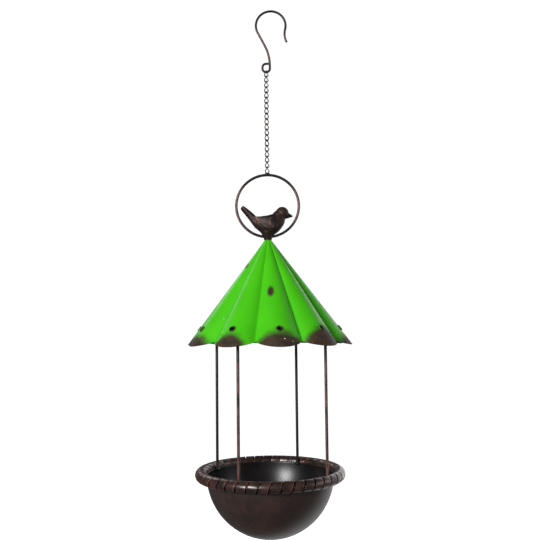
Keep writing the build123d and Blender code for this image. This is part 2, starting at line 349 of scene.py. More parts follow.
link_line = Wire("link", (link_end_radius, 0, 0), (0, 0, -1), link_wire, sides=14)
link_line.draw(link_leg / 2, steps=4)
link_line.bend(link_axis, link_end_radius, 180, link_step)
link_line.draw(link_leg, steps=8)
link_line.bend(link_axis, link_end_radius, 180, link_step)
link_line.draw(link_leg / 2 - butt_gap - link_cut, steps=4)
link_line.round_end(link_cut, cut_end, steps=2)
link_line.close_first_end()
link_model = link_line.done()

end_share = (link_end_radius + link_wire / 2) / (link_length + link_wire)
modify(
    link_model, "SIMPLE_DEFORM", deform_method="TWIST", deform_axis="Z",
    angle=radians(90), limits=(end_share, 1 - end_share),
)
top_azimuth = 45.0  # where the twist leaves the link's upper end
print("link size mm", in_mm(link_model.dimensions))

# %% The chain, link by link
link_count = 18
chain_azimuth, chain_drift = 90, 35  # the upper ends turn from 90 to 55 degrees and back down the chain
chain = []
for place, name in enumerate([f"link_{k:02d}" for k in range(1, link_count + 1)] + ["hoop_eye"]):
    low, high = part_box(name)
    azimuth = chain_azimuth - chain_drift * sin(pi * place / link_count)
    link = copy_of(link_model)
    link.location = (0, 0, (low.z + high.z) / 2)
    link.rotation_euler = (0, 0, radians(azimuth - top_azimuth))
    link = named(name + "_visual")
    body = "feeder" if name == "hoop_eye" else name
    chain.append(settle(link, body, [name], crease=60))
bpy.data.objects.remove(link_model)

# %% [markdown]
# ## Hoop
# The same kind of wire, thicker, bent into a full ring. A torus would do, but one bend of a full turn keeps
# the wire's own rings of faces. Its joint hides inside the bird's pedestal.

# %% Hoop
hoop_low, hoop_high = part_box("hoop")
hoop_wire = hoop_high.y - hoop_low.y
hoop_radius = (hoop_high.x - hoop_low.x - hoop_wire) / 2
hoop_centre = (hoop_low + hoop_high) / 2
hoop_side = hoop_centre + Vector((hoop_radius, 0, 0))
hoop_line = Wire("hoop_visual", hoop_side, (0, 0, 1), hoop_wire, sides=24)
hoop_line.bend(towards_camera, hoop_radius, 360, step=3)
hoop = settle(hoop_line.done(), "feeder", ["hoop"])

# %% [markdown]
# ## Rods
# Four straight rods stand on the bowl's edge. At the top each is bent inwards so that a short tail lies
# along the inside of the roof, under a crest or a valley. The bend's angle and height could be set by eye
# for each rod. They are worked out from the roof's slope at the rod, so that every tail lies flat.

# %% The roof's measures
roof_tip_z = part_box("roof")[0].z
lobe_count, first_crest = 10, -82.0
half_lobe = 180 / lobe_count
crest_radius, lobe_radius, roof_top_radius = 84.6 * MM, 25.0 * MM, 3.6 * MM
roof_height, roof_sheet = 106.3 * MM, 0.8 * MM
crest_slope = (crest_radius - roof_top_radius) / roof_height
roof_apex_z = roof_tip_z + crest_radius / crest_slope
inner_apex_z = roof_apex_z - roof_sheet * sqrt(1 + crest_slope**2) / crest_slope


def from_crest(azimuth):
    """How far round from the nearest crest an azimuth lies, in degrees to either side."""
    return (azimuth - first_crest + half_lobe) % (2 * half_lobe) - half_lobe


def lobe_share(azimuth):
    """The roof's radius at an azimuth, as a share of its radius along a crest."""
    away = radians(from_crest(azimuth))
    middle = crest_radius - lobe_radius
    return (middle * cos(away) + sqrt(lobe_radius**2 - (middle * sin(away)) ** 2)) / crest_radius


print("roof radius in a valley, as a share:", round(lobe_share(first_crest + half_lobe), 3))

# %% Rods
rod_azimuths = {"front_left": -118.0, "front_right": -28.0, "back_right": 62.0, "back_left": 152.0}
rod_diameter, rod_bend, rod_tail = 3.0 * MM, 9.0 * MM, 24.0 * MM
rod_circle, rod_gap, rod_cut = 62.45 * MM, 0.2 * MM, 0.3 * MM


def outward_at(azimuth):
    """The level direction away from the feeder's axis at an azimuth in degrees."""
    return Vector((cos(radians(azimuth)), sin(radians(azimuth)), 0))


rods, rod_tops = {}, {}
for side, azimuth in rod_azimuths.items():
    outward = outward_at(azimuth)
    slope = crest_slope * lobe_share(azimuth)
    bend = degrees(atan2(slope, 1))
    seat = (rod_diameter / 2 + rod_gap) * sqrt(1 + slope**2)
    knee_z = inner_apex_z - (rod_circle + seat) / slope
    cut_back = rod_bend * tan(radians(bend / 2))
    line = Wire(f"rod_{side}_visual", outward * rod_circle + UP * rim_z, UP, rod_diameter)
    line.draw(knee_z - cut_back - rim_z, steps=12)
    line.bend(UP.cross(outward), rod_bend, -bend, step=3)
    line.draw(rod_tail - cut_back - rod_cut)
    line.round_end(rod_cut, cut_end, steps=3)
    rod_tops[side] = line.place.copy()
    line.close_first_end()
    rods[side] = settle(line.done(), "feeder", [f"rod_{side}"])

# %% [markdown]
# ## Bird
# A small casting: plump body, round head, short beak, raised tail and folded wings with long flight
# feathers, on a funnel-shaped foot that the hoop runs through. It could be sculpted, but strokes can't be
# written down here. So each lump is shaped on its own, then a voxel remesh melts them into one skin with
# soft joints, as in a casting from a worn pattern.

# %% Bird's body and tail, drawn through their sections
bird_place = Vector((0, 0, hoop_low.z + hoop_wire / 2))


def bird_point(along, height, side=0.0):
    """A point of the bird from millimetres along and above the hoop's lowest point."""
    return bird_place + Vector((along, side, height)) * MM


def drawn(name, axis, sections):
    """A limb through (along, height, half thickness, half width) sections that face along an axis."""
    along, height, thick, width = sections[0]
    place = bird_point(along, height)
    turn = UP.rotation_difference(Vector(axis)).to_euler()
    select_none()
    bpy.ops.mesh.primitive_circle_add(
        vertices=32, radius=thick * MM, fill_type="NGON", location=place, rotation=turn
    )
    limb = named(name)
    edit(limb)
    bpy.ops.transform.resize(value=(1, width / thick, 1), center_override=place)
    for before, after in zip(sections, sections[1:]):
        place = bird_point(*after[:2])
        extrude(place - bird_point(*before[:2]))
        thicker, wider = after[2] / before[2], after[3] / before[3]
        bpy.ops.transform.resize(value=(thicker, wider, thicker), center_override=place)
    leave_edit()
    tidy(limb)
    modify(limb, "SUBSURF", levels=2)
    print(name, "faces", len(limb.data.polygons))
    return limb


bird_body = drawn("bird_body", (1, 0, 0), (
    (-15.5, 17.0, 3.0, 2.8), (-12.8, 15.4, 5.3, 4.6), (-10.0, 13.9, 7.3, 6.2), (-6.5, 12.6, 9.0, 7.6),
    (-3.0, 11.9, 10.1, 8.6), (0.5, 11.8, 10.8, 9.1), (4.0, 12.4, 11.1, 9.0), (7.2, 13.6, 11.1, 8.8),
    (10.0, 15.2, 10.9, 8.2), (12.8, 17.2, 10.1, 7.3), (15.4, 18.8, 8.3, 6.1), (17.2, 19.2, 5.6, 4.4),
    (18.0, 19.4, 2.6, 2.2),
))
tail = drawn("bird_tail", (-0.68, 0, 0.73), (
    (-6.7, 9.8, 5.3, 5.4), (-10.8, 14.1, 4.8, 5.0), (-14.7, 18.3, 3.9, 4.5), (-18.5, 22.5, 3.4, 4.4),
    (-22.3, 26.6, 3.0, 4.2), (-25.6, 30.2, 2.7, 3.7), (-26.8, 31.5, 1.8, 2.6),
))


# %% Head, beak, eyes and foot
def lump(name, place, size, turn=(0, 0, 0)):
    """A ball stretched to three half sizes in mm and turned."""
    select_none()
    bpy.ops.mesh.primitive_uv_sphere_add(segments=40, ring_count=24, radius=MM, location=place)
    bpy.context.object.scale = size
    bpy.context.object.rotation_euler = [radians(a) for a in turn]
    return named(name)


def lathe(name, place, profile, sides=48, ends="NGON"):
    """A round piece drawn through (radius, height) pairs in mm, with closed or open ends."""
    radius, height = profile[0]
    select_none()
    bpy.ops.mesh.primitive_circle_add(
        vertices=sides, radius=radius * MM, fill_type=ends, location=place + Vector((0, 0, height * MM))
    )
    piece = named(name)
    edit(piece)
    for (last_radius, last_height), (radius, height) in zip(profile, profile[1:]):
        extrude((0, 0, (height - last_height) * MM))
        grow = radius / last_radius
        bpy.ops.transform.resize(value=(grow, grow, 1), center_override=place)
    leave_edit()
    tidy(piece)
    return piece


head = lump("bird_head", bird_point(14.9, 24.3), (6.8, 6.2, 6.8))
neck = lump("bird_neck", bird_point(11.0, 21.2), (7.6, 6.4, 6.3), (0, -40, 0))
eyes = [lump("bird_eye", bird_point(17.7, 25.6, side), (0.75, 0.6, 0.75)) for side in (-5.2, 5.2)]
foot = lathe("bird_foot", bird_place, [
    (3.9, -3.6), (4.0, -2.8), (4.4, -1.6), (5.0, -0.2), (5.6, 1.2), (6.3, 2.6), (7.0, 4.2), (7.1, 5.6),
    (6.0, 7.0),
])
beak_root, beak_tip = bird_point(17.4, 22.4), bird_point(25.9, 21.1)
beak_line = beak_tip - beak_root
select_none()
bpy.ops.mesh.primitive_cone_add(
    vertices=32, radius1=4.6 * MM, radius2=0.6 * MM, depth=beak_line.length,
    location=(beak_root + beak_tip) / 2,
)
bpy.context.object.rotation_euler = beak_line.to_track_quat("Z", "Y").to_euler()
beak = named("bird_beak")
modify(beak, "BEVEL", width=0.35 * MM, segments=3, limit_method="ANGLE")
print("head, neck, eyes, foot and beak")


# %% Wings and tail feathers
def feather(root, tip, thick, tall):
    """A long leaf-shaped feather between two points in mm."""
    root, tip = bird_point(*root), bird_point(*tip)
    blade = lump("feather", (0, 0, 0), ((tip - root).length / MM / 2, thick, tall))
    blade.rotation_euler = (tip - root).to_track_quat("X", "Z").to_euler()
    blade.location = (root + tip) / 2
    return named("feather")


def in_row(first, step, row, side):
    """A feather's end: the first one's, moved on by a step for each row, on one side of the bird."""
    along, height, out = [start + row * move for start, move in zip(first, step)]
    return along, height, out * side


still = (0, 0, 0)
feather_rows = [  # how many, first root and step, first tip and step, half thickness, half height
    (6, (8.2, 17.6, 7.6), (-0.9, -1.9, 0.22), (-15.2, 19.9, 4.9), (1.9, -1.75, 0.5), 1.25, 1.6),
    (4, (9.4, 17.6, 7.4), (-0.5, -2.4, 0), (1.2, 18.2, 8.6), (-0.2, -2.5, 0), 1.1, 1.8),
    (1, (-9.0, 14.6, 4.4), still, (-26.4, 31.2, 3.4), still, 0.9, 1.5),
    (1, (-8.6, 16.6, 3.2), still, (-25.2, 31.8, 2.4), still, 1.0, 1.3),
]
plumage = []
for side in (-1, 1):
    plumage.append(lump("wing", bird_point(0.6, 14.2, 6.8 * side), (10.4, 2.3, 6.0), (0, 24, 7 * side)))
    for count, root, root_step, tip, tip_step, thick, tall in feather_rows:
        for row in range(count):
            ends = in_row(root, root_step, row, side), in_row(tip, tip_step, row, side)
            plumage.append(feather(*ends, thick, tall))
bird = join([bird_body, tail, head, neck, foot, beak, *eyes, *plumage], "bird_visual")
print("bird lumps joined, faces", len(bird.data.polygons))

# %% One cast skin, and how far each place stands out of it
belly_low, belly_high = -2.6, 8.0
modify(bird, "REMESH", mode="VOXEL", voxel_size=0.3 * MM)
modify(bird, "SMOOTH", factor=0.5, iterations=4)
tidy(bird)
low_places = [
    v.index for v in bird.data.vertices if belly_low < (v.co.z - bird_place.z) / MM < belly_high
]
bird.vertex_groups.new(name="belly_and_foot").add(low_places, 1.0, "REPLACE")
modify(bird, "SMOOTH", factor=0.5, iterations=70, vertex_group="belly_and_foot")
bird.vertex_groups.clear()
rubbed_shape = copy_of(bird)
modify(rubbed_shape, "SMOOTH", factor=0.5, iterations=60)
pairs = zip(bird.data.vertices, rubbed_shape.data.vertices)
heights = [(v.co - w.co).dot(v.normal) / MM for v, w in pairs]
bird.data.attributes.new("raised", "FLOAT", "POINT").data.foreach_set("value", heights)
bpy.data.objects.remove(rubbed_shape)
heights.sort()
marks = [round(heights[int(len(heights) * share)], 3) for share in (0.05, 0.5, 0.95)]
print("raised mm, at 5, 50 and 95 percent:", marks)
settle(bird, "feeder", ["bird"], crease=180)

# %% [markdown]
# ## Roof
# Thin sheet, pleated into ten rounded lobes that narrow to the top, with a scalloped edge and a punched
# hole with a turned-up lip near the end of every lobe. It could be built column by column. A plain cone
# gives the columns at once: each is pulled in toward the cone's apex by what the lobe's arc needs, the
# valleys are softened into folds, and the sheet gets its thickness inwards. The hem rises 4 mm from a
# lobe's tip to the valley, less than on the solid, because the photo shows it so.

# %% Roof: from cone to lobes
columns_per_lobe, ring_count = 16, 26
valley_column = columns_per_lobe // 2
column_step = 2 * half_lobe / columns_per_lobe
roof_top_z = roof_tip_z + roof_height
cone_height = roof_apex_z - roof_tip_z
trim_rise = 25.5 * MM  # the edge lies on a flat cone that would rise by this to the axis
hem_margin = 0.08 * MM  # keeps the hem within the CAD box
apex = Vector((0, 0, roof_apex_z))

select_none()
bpy.ops.mesh.primitive_cone_add(
    vertices=columns_per_lobe * lobe_count, radius1=crest_radius - hem_margin, radius2=roof_top_radius,
    depth=roof_height, end_fill_type="NOTHING", location=(0, 0, (roof_tip_z + roof_top_z) / 2),
    rotation=(0, 0, radians(first_crest)),
)
roof = named("roof_visual")
edit(roof)
for ring in range(1, ring_count):
    ring_z = roof_tip_z + ring / ring_count * roof_height
    bpy.ops.mesh.select_all(action="SELECT")
    bpy.ops.mesh.bisect(plane_co=(0, 0, ring_z), plane_no=(0, 0, 1))
leave_edit()


def column_at(place):
    """Which column a place is in, counted from the nearest crest."""
    return round(abs(from_crest(degrees(atan2(place.y, place.x)))) / column_step)


column_of = [column_at(v.co) for v in roof.data.vertices]
for column in range(1, valley_column + 1):
    share = lobe_share(first_crest + column * column_step)
    climb = trim_rise * share * crest_slope / crest_radius
    edge_z = roof_tip_z + (trim_rise - climb * cone_height) / (1 - climb)
    up = (roof_apex_z - edge_z) / cone_height
    pick(roof, lambda v: column_of[v.index] == column)
    bpy.ops.transform.resize(value=(share * up, share * up, up), center_override=apex)
leave_edit()
print("valley edge mm above the tips:", round((edge_z - roof_tip_z) / MM, 2))

# %% Roof: folds and sheet
pick(roof, lambda v: column_of[v.index] == valley_column)
bpy.ops.mesh.select_mode(type="EDGE")
bpy.ops.mesh.bevel(offset_type="PERCENT", offset_pct=38, segments=3, profile=0.5)
bpy.ops.mesh.select_all(action="SELECT")
bpy.ops.mesh.normals_make_consistent(inside=True)
leave_edit()
facing = [f.normal.dot(Vector((f.center.x, f.center.y, 0))) for f in roof.data.polygons]
print("roof faces that look outward:", sum(d > 0 for d in facing), "of", len(facing))


def two_slots(piece):
    """Make room for a finish outside and a finish inside."""
    piece.data.materials.append(None)
    piece.data.materials.append(None)


two_slots(roof)
modify(roof, "SOLIDIFY", thickness=roof_sheet, offset=-1.0, use_even_offset=True)

# %% Roof: holes
hole_radius, hole_from_tip, punch_length = 2.3 * MM, 20.5 * MM, 8 * MM
hole_share = hole_from_tip / (roof_height * sqrt(1 + crest_slope**2))
hole_out = crest_radius + (roof_top_radius - crest_radius) * hole_share
hole_height = roof_tip_z + roof_height * hole_share
hole_tilt = atan2(1, crest_slope)


def at_each_hole(model, name):
    """Copy a model to the hole of every lobe, and join the copies."""
    copies = []
    for lobe in range(lobe_count):
        azimuth = radians(first_crest + 2 * half_lobe * lobe)
        piece = copy_of(model)
        piece.rotation_euler = (0, hole_tilt, azimuth)
        piece.location = (hole_out * cos(azimuth), hole_out * sin(azimuth), hole_height)
        copies.append(piece)
    bpy.data.objects.remove(model)
    return join(copies, name)


select_none()
bpy.ops.mesh.primitive_cylinder_add(vertices=40, radius=hole_radius, depth=punch_length)
punches = at_each_hole(named("punch"), "punches")
modify(roof, "BOOLEAN", operation="DIFFERENCE", object=punches, solver="EXACT")
bpy.data.objects.remove(punches)
is_inside = []
for face in roof.data.polygons:
    outward = Vector((face.center.x, face.center.y, 0)).normalized() + UP
    is_inside.append(int(face.normal.dot(outward) < 0))
roof.data.attributes.new("inside", "INT", "FACE").data.foreach_set("value", is_inside)
print("roof sheet faces", len(is_inside), "inside", sum(is_inside))

# %% Roof: lips round the holes
lip_profile = [
    (3.25, -0.75), (3.12, -0.3), (3.08, 0.55), (3.0, 0.82), (2.82, 0.97), (2.62, 0.97), (2.45, 0.82),
    (2.36, 0.5), (2.34, -0.9),
]
lips = at_each_hole(lathe("lip", Vector(), lip_profile, sides=40, ends="NOTHING"), "lips")
roof = join([roof, lips], "roof_visual")
is_inside = [0] * len(roof.data.polygons)
roof.data.attributes["inside"].data.foreach_get("value", is_inside)
roof.data.polygons.foreach_set("material_index", is_inside)
print("roof faces with the inside finish", sum(is_inside))
settle(roof, "feeder", ["roof"], crease=48)

# %% [markdown]
# ## Bowl
# Spun from sheet on a lathe: most of a half ball with a level edge. Its profile could be turned, but a ball
# that is cut at the rim's height gives the same form in one step. Then the sheet gets its thickness
# inwards, and the edge is rounded where the spinner trimmed it.

# %% Bowl
mouth_radius = bowl_high.x
bowl_depth = bowl_high.z - bowl_low.z
bowl_radius = (mouth_radius**2 + bowl_depth**2) / (2 * bowl_depth)
bowl_sheet, bowl_edge = 1.0 * MM, 0.35 * MM
select_none()
bpy.ops.mesh.primitive_uv_sphere_add(
    segments=144, ring_count=96, radius=bowl_radius, location=(0, 0, bowl_low.z + bowl_radius)
)
bowl = named("bowl_visual")
edit(bowl)
bpy.ops.mesh.bisect(plane_co=(0, 0, rim_z), plane_no=(0, 0, 1), clear_outer=True)
leave_edit()
tidy(bowl)
two_slots(bowl)
modify(
    bowl, "SOLIDIFY", thickness=bowl_sheet, offset=-1.0, use_even_offset=True,
    material_offset=1, material_offset_rim=0,
)
modify(bowl, "BEVEL", width=bowl_edge, segments=3, limit_method="ANGLE", angle_limit=radians(50))
settle(bowl, "feeder", ["bowl"])

# %% [markdown]
# ## Rim
# A flat strip is wound tightly round a plain ring. A Screw modifier winds about a straight line only, so
# one turn is made by spinning the strip's section round the ring, each section is carried a little further
# round the rim, and the turn is copied until the winding closes. The strip's two cut ends meet at one turn
# at the right.

# %% The strip's section
rim_major, strip_radius = 69.55 * MM, 5.0 * MM
strip_width, strip_thick, strip_corner = 8.75 * MM, 0.9 * MM, 0.25 * MM
rim_turns, turn_steps = 43, 24
seam_azimuth = -38.0
turn_advance = 360 / rim_turns
step_advance = turn_advance / turn_steps
strip_slant = atan2(rim_major / rim_turns, strip_radius)
strip_start = Vector((rim_major, 0, rim_z - strip_radius))


def strip_section(name):
    """The strip's rounded section under the ring, with the place across the strip as an attribute."""
    select_none()
    bpy.ops.mesh.primitive_plane_add(size=1, rotation=(pi / 2, 0, 0))
    bpy.context.object.scale = (strip_width, 1, 1)
    section = named(name)
    edit(section)
    bpy.ops.transform.resize(value=(1, 1, strip_thick))
    bpy.ops.mesh.bevel(affect="VERTICES", offset=strip_corner, segments=3)
    bpy.ops.mesh.select_all(action="SELECT")
    bpy.ops.mesh.subdivide(number_cuts=1)
    leave_edit()
    across = section.data.attributes.new("across", "FLOAT", "POINT")
    across.data.foreach_set("value", [2 * v.co.x / strip_width for v in section.data.vertices])
    section.rotation_euler = (0, 0, pi / 2 + strip_slant)
    section.location = strip_start
    return named(name)


print("strip slant, degrees:", round(degrees(strip_slant), 1))


# %% One turn of the strip
def strip_turn(name, steps):
    """Wind the section round the ring for some of the steps of a full turn."""
    turn = strip_section(name)
    edit(turn)
    bpy.ops.mesh.delete(type="ONLY_FACE")
    bpy.ops.mesh.select_all(action="SELECT")
    section_size = len(turn.data.vertices)
    sweep, centre = tau * steps / turn_steps, (rim_major, 0, rim_z)
    bpy.ops.mesh.spin(steps=steps, angle=sweep, center=centre, axis=(0, 1, 0))
    for step in range(1, steps + 1):
        pick(turn, lambda v: v.index >= section_size * step)
        bpy.ops.transform.rotate(
            value=-radians(step_advance), orient_axis="Z", center_override=(0, 0, 0)
        )
    leave_edit()
    return turn


winding = strip_turn("rim_wrap_visual", turn_steps)
print("one turn: faces", len(winding.data.polygons))

# %% The whole winding
turn_merge = 0.01 * MM
bpy.ops.object.empty_add(rotation=(0, 0, radians(turn_advance)))
next_turn = bpy.context.object
modify(
    winding, "ARRAY", use_relative_offset=False, use_object_offset=True, offset_object=next_turn,
    count=rim_turns - 1,
)
bpy.data.objects.remove(next_turn)
last_turn = strip_turn("last_turn", turn_steps - 1)
last_turn.rotation_euler = (0, 0, radians(-turn_advance))
last_turn = named("last_turn")
winding = join([winding, last_turn], "rim_wrap_visual")
winding.rotation_euler = (0, 0, radians(seam_azimuth))
winding = named("rim_wrap_visual")
edit(winding)
bpy.ops.mesh.remove_doubles(threshold=turn_merge)
bpy.ops.mesh.fill_holes(sides=0)
bpy.ops.mesh.normals_make_consistent(inside=False)
leave_edit()
settle(winding, "feeder", ["rim_wrap"])

# %% [markdown]
# ## Weld beads
# The rods are tacked to the bowl's edge and under the roof, and the last link to the hoop. A bead could be
# a plain ball, but weld metal sets unevenly: so it is a ball pressed out of round, an icosphere with a
# cloudy displacement. Fine drops of spatter sit low on the rim's inner side, to both sides of a back rod.

# %% Weld beads
bead_texture = bpy.data.textures.new("bead_clouds", "CLOUDS")
bead_texture.noise_scale = 1.6 * MM
bead_unevenness = 0.16
foot_bead, top_bead, eye_bead = (2.0, 2.5, 1.6), (2.0, 2.0, 2.0), (2.5, 1.4, 1.1)
foot_in, foot_down, eye_up = 0.7 * MM, 1.0 * MM, 0.1 * MM


def bead(place, size, turn=0.0):
    """A weld bead of three half sizes in mm."""
    select_none()
    bpy.ops.mesh.primitive_ico_sphere_add(subdivisions=4, radius=MM, location=place)
    bpy.context.object.scale = size
    bpy.context.object.rotation_euler = (0, 0, radians(turn))
    piece = named("bead")
    modify(
        piece, "DISPLACE", texture=bead_texture, texture_coords="GLOBAL",
        strength=bead_unevenness * min(size) * MM, mid_level=0.5,
    )
    return piece


beads = []
for side, azimuth in rod_azimuths.items():
    foot_place = outward_at(azimuth) * (rod_circle - foot_in) + UP * (rim_z - foot_down)
    beads.append(bead(foot_place, foot_bead, azimuth))
    beads.append(bead(rod_tops[side], top_bead, azimuth))
hoop_crown = hoop_centre + UP * (hoop_radius + hoop_wire / 2)
beads.append(bead(hoop_crown + UP * eye_up, eye_bead))
print("weld beads:", len(beads))

# %% Spatter
spatter_drops = [  # azimuth, degrees up the rim's inner side, half size in mm
    (77.0, 12, 0.45), (75.2, 4, 0.6), (73.6, 16, 0.4), (72.0, 8, 0.7), (70.4, 2, 0.5), (68.8, 14, 0.55),
    (67.4, 6, 0.75), (65.6, 20, 0.5), (61.4, 8, 0.7), (59.6, 15, 0.5), (58.2, 5, 0.6), (55.6, 12, 0.45),
]
spatter_flatness = 0.8
strip_reach = strip_radius + strip_thick / 2
for azimuth, climb, size in spatter_drops:
    place = outward_at(azimuth) * (rim_major - strip_reach * cos(radians(climb)))
    place.z = rim_z + strip_reach * sin(radians(climb))
    drop = bead(place, (size, size, size * spatter_flatness))
    fresh = drop.data.attributes.new("fresh", "FLOAT", "POINT")
    fresh.data.foreach_set("value", [1.0] * len(drop.data.vertices))
    beads.append(drop)
welds = join(beads, "weld_beads_visual")
tidy(welds)
settle(welds, "feeder", ["weld_beads"], crease=180)

# %% [markdown]
# ## Finishes
# All finishes are worked out from places on the part, so they need no picture and no unwrapping. Nodes
# could be added one by one. A small class wraps a shader socket instead, so that shader sums read like
# sums, and one method makes any node.


# %% Shader sums
def both_ways(operation):
    """The methods for a sign with the socket before it, and with the socket after it."""
    return (
        lambda self, other: self.math(operation, self, other),
        lambda self, other: self.math(operation, other, self),
    )


class Shade:
    """A socket in a material's node tree that can be added, multiplied and so on."""

    def __init__(self, tree, socket=None):
        self.tree, self.socket = tree, socket

    def node(self, kind, settings=None, values=None, output=0):
        """Add a node, set it, fill or link its sockets, and give one of its outputs."""
        made = self.tree.nodes.new("ShaderNode" + kind)
        for key, value in (settings or {}).items():
            setattr(made, key, value)
        for key, value in (values or {}).items():
            if isinstance(value, Shade):
                self.tree.links.new(value.socket, made.inputs[key])
            else:
                made.inputs[key].default_value = value
        return Shade(self.tree, made.outputs[output] if made.outputs else None)

    def math(self, operation, *terms):
        """Add a Math node."""
        return self.node("Math", {"operation": operation}, dict(enumerate(terms)))

    __add__, __radd__ = both_ways("ADD")
    __sub__, __rsub__ = both_ways("SUBTRACT")
    __mul__, __rmul__ = both_ways("MULTIPLY")
    __truediv__, __rtruediv__ = both_ways("DIVIDE")
    __pow__, __rpow__ = both_ways("POWER")


# %% Colours and patterns
def colour(*shades):
    """Red, green and blue as they look on a screen, 0 to 255, as the linear colour that nodes use."""
    linear = [((c / 255 + 0.055) / 1.055) ** 2.4 if c > 10 else c / 255 / 12.92 for c in shades]
    return (*linear, 1.0)


def blend(share, first, second):
    """From the first colour to the second."""
    return share.node("Mix", {"data_type": "RGBA"}, {0: share, 6: first, 7: second}, output=2)


def band(value, low, high):
    """0 below low, 1 above high, smooth between."""
    return value.node("MapRange", {"interpolation_type": "SMOOTHSTEP"}, {0: value, 1: low, 2: high})


def noise(place, size, detail=3.0, rough=0.5):
    """Cloudy noise about 0.5, with lumps of a size in mm."""
    values = {"Vector": place, "Scale": 1 / (size * MM), "Detail": detail, "Roughness": rough}
    return place.node("TexNoise", {}, values)


def parts_of(place):
    """The x, y and z of a place, in mm."""
    made = [place.node("SeparateXYZ", {}, {0: place}, output=k) for k in range(3)]
    return [m / MM for m in made]


def kept(place, name):
    """An attribute that was kept on the mesh while it was modelled."""
    return place.node("Attribute", {"attribute_name": name}, output="Fac")


# %% Surfaces and finishes
def bump(height, depth, strength=1.0):
    """A normal from a height of 0 to 1 that stands for a depth in mm."""
    return height.node("Bump", {}, {"Height": height, "Distance": depth * MM, "Strength": strength})


def surface(tone, rough, normal=None, fixed=None):
    """A shader from its colour, roughness and normal, and from sockets that are the same all over."""
    values = {"Base Color": tone, "Roughness": rough, **(fixed or {})}
    if normal:
        values["Normal"] = normal
    return tone.node("BsdfPrincipled", {}, values)


def finish(name, paint, *pieces):
    """Make a material from a function of the place, and put it in each piece's first free slot."""
    made = bpy.data.materials.new(name)
    made.use_nodes = True
    made.node_tree.nodes.clear()
    start = Shade(made.node_tree)
    start.node("OutputMaterial", {}, {"Surface": paint(start.node("TexCoord", output="Object"))})
    for piece in pieces:
        slots = piece.data.materials
        if None in list(slots):
            slots[list(slots).index(None)] = made
        else:
            slots.append(made)
    print(name, "on", len(pieces), "pieces,", len(made.node_tree.nodes), "nodes")


# %% [markdown]
# ### Bronzed wire
# Black lacquer over a copper-brown wash. The lacquer thins to brown in clouds and to bare copper tone in
# fine scuffs, and a fine grain roughens it. One function makes the finish of every wire, because the wires
# differ only in how far the wash shows, where they are rubbed, and where light is painted on: a painted
# sheen on the hook's shank and the hoop's sides, the front rods painted lit and the back rods shaded, and
# painted shade on the front rods just under the roof.

# %% Wire finishes
black_lacquer, brown_wash, copper_tone = colour(17, 14, 14), colour(52, 38, 35), colour(128, 84, 76)
# the most that the painted sheen and the painted shade shift a wire's wash
full_painted_light = 0.9


def wire_paint(wash, scuff, glow=None):
    """A wire's finish: how far the wash shows, how much is scuffed, and where a painted sheen or shade
    shifts it.
    """

    def paint(place):
        cloud, speck, grain = noise(place, 14), noise(place, 1.1, 4, 0.65), noise(place, 0.35, 2)
        shown = band(cloud + wash, 0.5, 0.9)
        if glow:
            shown = shown + glow(place)
        tone = blend(band(shown, 0.0, 1.0), black_lacquer, brown_wash)
        worn = band(0.6 * speck + 0.3 * cloud + 0.25 * shown + scuff, 0.5, 1.0)
        tone = blend(worn * 0.7, tone, copper_tone)
        return surface(tone, 0.34 + 0.2 * grain, bump(grain + speck, 0.02, 0.5), {"Metallic": 0.35})

    return paint


def hook_sheen(place):
    """A painted sheen: the hook's shank and tip are painted browner than its bow and its eye."""
    below = 0 - parts_of(place)[2]
    return full_painted_light * band(below, 10, 30) * (1 - band(below, 50, 58))


def hoop_sheen(place):
    """A painted sheen: the hoop is painted coppery at its two sides."""
    x = parts_of(place)[0]
    return full_painted_light * band(x.math("ABSOLUTE", x), 20, 32)


def rod_shade_under_roof(place):
    """Painted shade: the front rods are painted black just under the roof."""
    return full_painted_light * band(roof_tip_z / MM - parts_of(place)[2], 8, 24) - full_painted_light


finish("hook_finish", wire_paint(0.0, 0.0, hook_sheen), hook)
finish("chain_finish", wire_paint(0.1, 0.0), *chain)
finish("hoop_finish", wire_paint(0.0, 0.02, hoop_sheen), hoop)
# Painted light: the front rods get more wash and scuffs as lit rods, the back rods less as shaded rods.
finish("lit_front_rod_finish", wire_paint(0.3, 0.04, rod_shade_under_roof), rods["front_left"], rods["front_right"])
finish("shaded_back_rod_finish", wire_paint(-0.1, -0.1), rods["back_left"], rods["back_right"])

# %% [markdown]
# ### Cast bird
# The same black over brown, rubbed through on the highest places. Where the tail leaves the back and along
# the front of the wing, copper patches are both wear and a painted highlight. How high a place stands was
# measured on the mesh. Fine barbs on the wings are bump and colour, because they are finer than the
# casting's skin.

# %% Where the bird is rubbed and where highlights are painted
cast_black, cast_brown, cast_hollow = colour(18, 14, 13), colour(47, 31, 27), colour(12, 10, 10)
cast_worn, cast_copper_and_highlight = colour(150, 100, 84), colour(180, 116, 92)
rub_and_highlight_places = [  # middle along and above the hoop's lowest point, half sizes
    ((-11.4, 17.2), (3.0, 2.8)), ((-9.4, 14.0), (2.0, 1.8)),
    ((2.0, 13.0), (1.6, 3.6)), ((4.4, 9.6), (2.0, 1.6)),
]
right_through = 60.0  # a rub reaches both sides of the bird
wing_along, wing_height, wing_lean = -2.0, 14.5, 0.25
wing_long, wing_tall = 12.0, 6.5
barb_lean, barb_wander, barb_pitch, barb_curve = 0.12, 1.2, 3.9, 0.02


def distance(place, centre, size):
    """Distance from a centre in mm, in shares of a size in each direction."""
    centre = Vector(centre) * MM
    moved = place.node("VectorMath", {"operation": "SUBTRACT"}, {0: place, 1: centre})
    scaled = place.node("VectorMath", {"operation": "DIVIDE"}, {0: moved, 1: Vector(size) * MM})
    return place.node("VectorMath", {"operation": "LENGTH"}, {0: scaled}, output="Value")


print("rubbed places on the bird:", len(rub_and_highlight_places))


